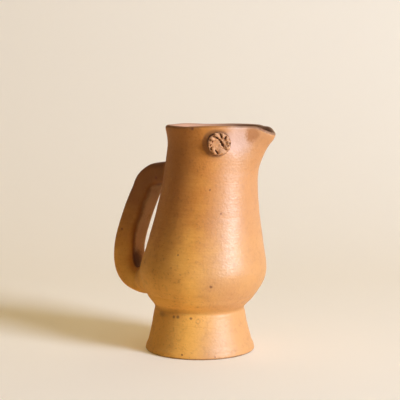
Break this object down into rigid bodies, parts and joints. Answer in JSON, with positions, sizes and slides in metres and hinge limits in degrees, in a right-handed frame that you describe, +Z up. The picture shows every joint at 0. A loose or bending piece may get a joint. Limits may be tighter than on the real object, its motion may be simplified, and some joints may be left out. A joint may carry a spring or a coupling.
{
  "type": "ceramic pitcher",
  "caption": "Hand-thrown stoneware pitcher with a leaning body, pulled spout, strap handle, flared hollow foot and a notched clay medallion, for pouring drinks.",
  "frame": {"origin": "on the table, below the middle of the pitcher's overall box", "axes": "+Z up, +X towards the spout, -X towards the handle"},
  "size_m": [0.1698, 0.1228, 0.2199],
  "materials": {
    "body_clay": "toasted orange-brown stoneware, satin, fine speckle",
    "foot_clay": "golden-orange stoneware, satin, with iron spots",
    "handle_clay": "darker brown stoneware, satin, rougher inside the loop",
    "medallion_clay": "pinkish-brown stoneware, dry, darker in its notches"
  },
  "bodies": {
    "root": {"body": "body_clay", "pedestal_foot": "foot_clay", "waist_coil": "body_clay", "handle": "handle_clay", "medallion": "medallion_clay"}
  },
  "joints": []
}
